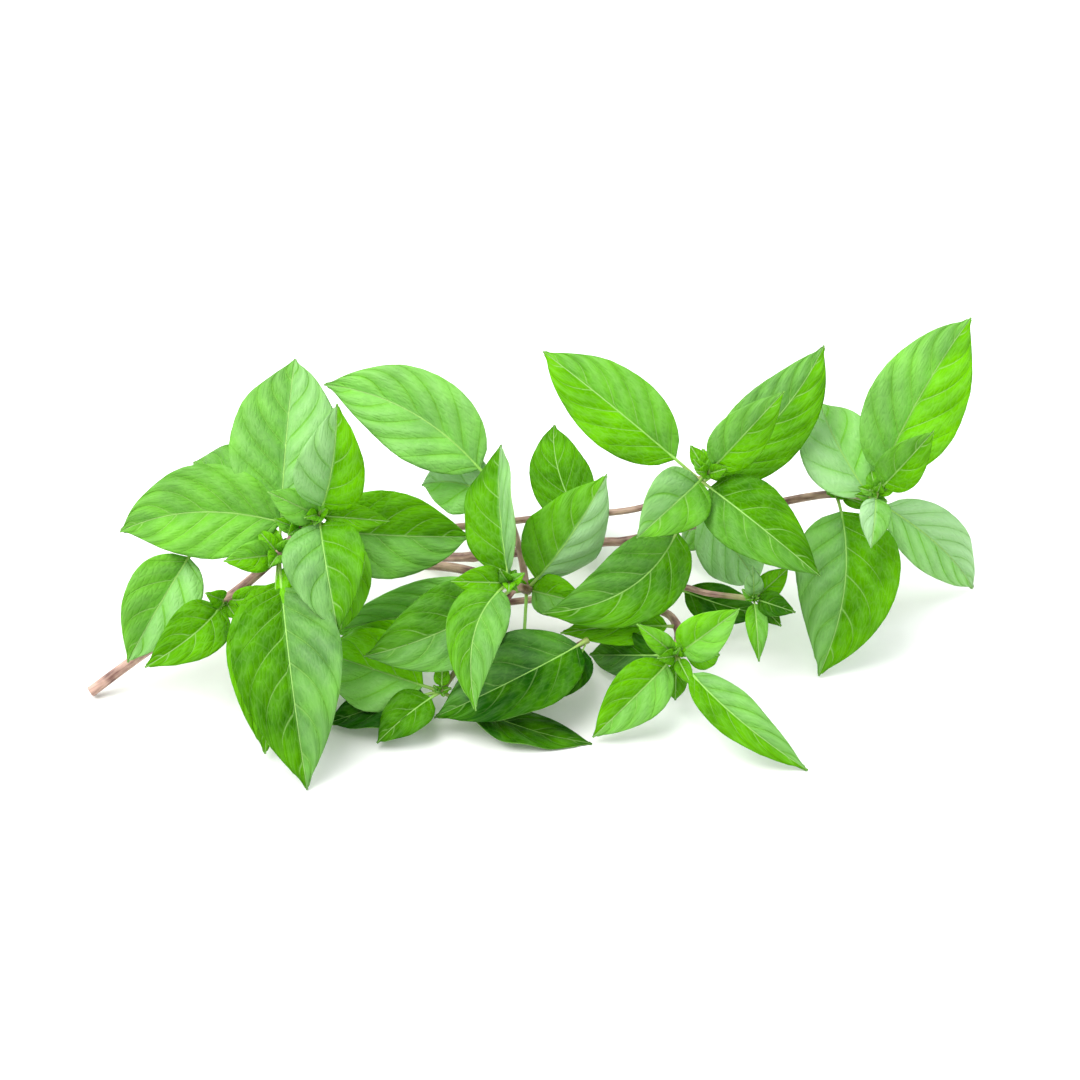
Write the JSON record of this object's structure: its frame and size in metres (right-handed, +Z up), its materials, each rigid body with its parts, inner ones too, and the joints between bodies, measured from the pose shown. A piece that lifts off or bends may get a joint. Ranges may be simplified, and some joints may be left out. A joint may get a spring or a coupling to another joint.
{
  "type": "basil bunch",
  "caption": "Loose bunch of cut basil lying on a surface: leafy stems with opposite pairs of pointed oval green leaves on slender brown stems.",
  "frame": {"origin": "on the surface that the bunch lies on, under the middle of its outline", "axes": "+X along the bunch, from the main cut stem end towards the far tips; -Y is the open front; +Z is up"},
  "size_m": [0.2716, 0.141, 0.0884],
  "materials": {
    "basil_leaf": "satin",
    "basil_stem": "satin"
  },
  "bodies": {
    "root": {"left_sprig": "basil_leaf", "middle_sprig": "basil_leaf", "upper_sprig": "basil_leaf", "right_sprig": "basil_leaf", "low_sprig": "basil_leaf", "front_sprig": "basil_leaf", "ground_sprig": "basil_leaf"}
  },
  "joints": []
}
